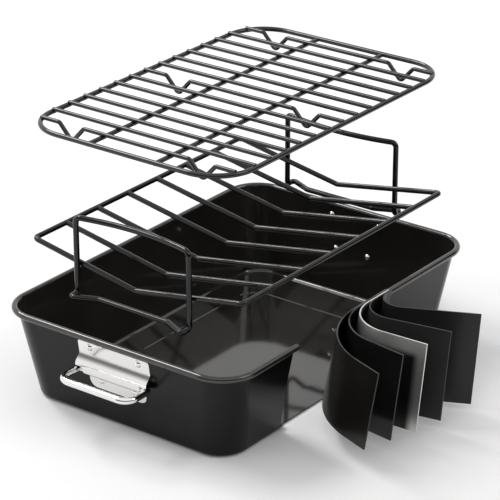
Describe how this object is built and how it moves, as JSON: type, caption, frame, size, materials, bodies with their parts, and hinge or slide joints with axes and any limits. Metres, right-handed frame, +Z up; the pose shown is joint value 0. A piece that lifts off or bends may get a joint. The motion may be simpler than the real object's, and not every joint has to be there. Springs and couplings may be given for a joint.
{
  "type": "roasting pan with rack",
  "caption": "Rectangular roasting pan with rolled rim, drop bail handles, a V-shaped roasting rack and a flat rack, with part of one wall cut open and peeled into its layers.",
  "frame": {"origin": "middle of the pan's flat base, where it meets the table", "axes": "+X along the pan towards the far handle, +Y towards the whole long wall, away from the cut-open one, +Z up"},
  "size_m": [0.4634, 0.384, 0.2825],
  "materials": {
    "pan_coating": "satin gloss",
    "rack_coating": "semi-gloss",
    "gloss_coat_layer": "gloss",
    "base_coat_layer": "gloss",
    "bare_steel_layer": "polished",
    "primer_layer": "matt",
    "outer_coat_layer": "satin",
    "handle_steel": "polished",
    "bail_steel": "polished",
    "rivet_steel": "polished"
  },
  "bodies": {
    "pan": {"far_handle_plate": "handle_steel", "far_handle_rivets": "rivet_steel", "inner_base_coat_layer": "base_coat_layer", "inner_top_coat_layer": "gloss_coat_layer", "near_handle_plate": "handle_steel", "near_handle_rivets": "rivet_steel", "outer_coat_layer": "outer_coat_layer", "outer_primer_layer": "primer_layer", "pan_shell": "pan_coating", "steel_core_layer": "bare_steel_layer"},
    "v_rack": {"v_rack_cross_wire_1": "rack_coating", "v_rack_cross_wire_2": "rack_coating", "v_rack_cross_wire_3": "rack_coating", "v_rack_cross_wire_4": "rack_coating", "v_rack_cross_wire_5": "rack_coating", "v_rack_cross_wire_6": "rack_coating", "v_rack_far_loop": "rack_coating", "v_rack_frame": "rack_coating", "v_rack_near_loop": "rack_coating"},
    "flat_rack": {"flat_rack_back_long_wire": "rack_coating", "flat_rack_cross_wire_02": "rack_coating", "flat_rack_cross_wire_03": "rack_coating", "flat_rack_cross_wire_04": "rack_coating", "flat_rack_cross_wire_05": "rack_coating", "flat_rack_cross_wire_06": "rack_coating", "flat_rack_cross_wire_07": "rack_coating", "flat_rack_cross_wire_09": "rack_coating", "flat_rack_cross_wire_10": "rack_coating", "flat_rack_cross_wire_11": "rack_coating", "flat_rack_cross_wire_12": "rack_coating", "flat_rack_cross_wire_13": "rack_coating", "flat_rack_cross_wire_14": "rack_coating", "flat_rack_footed_wire_01": "rack_coating", "flat_rack_footed_wire_08": "rack_coating", "flat_rack_footed_wire_15": "rack_coating", "flat_rack_frame": "rack_coating", "flat_rack_front_long_wire": "rack_coating"},
    "near_bail": {"near_bail": "bail_steel"},
    "far_bail": {"far_bail": "bail_steel"}
  },
  "joints": [
    {"name": "v_rack_lift", "type": "slide", "parent": "pan", "child": "v_rack", "axis": [0, 0, 1], "range_m": [-0.1112, 0]},
    {"name": "flat_rack_lift", "type": "slide", "parent": "v_rack", "child": "flat_rack", "axis": [0, 0, 1], "range_m": [-0.0782, 0]},
    {"name": "near_bail_swing", "type": "hinge", "parent": "pan", "child": "near_bail", "pos_m": [-0.19749, 0, 0.05743], "axis": [0, 1, 0], "range_deg": [-97, 3]},
    {"name": "far_bail_swing", "type": "hinge", "parent": "pan", "child": "far_bail", "pos_m": [0.19749, 0, 0.05743], "axis": [0, -1, 0], "range_deg": [-97, 3]}
  ]
}
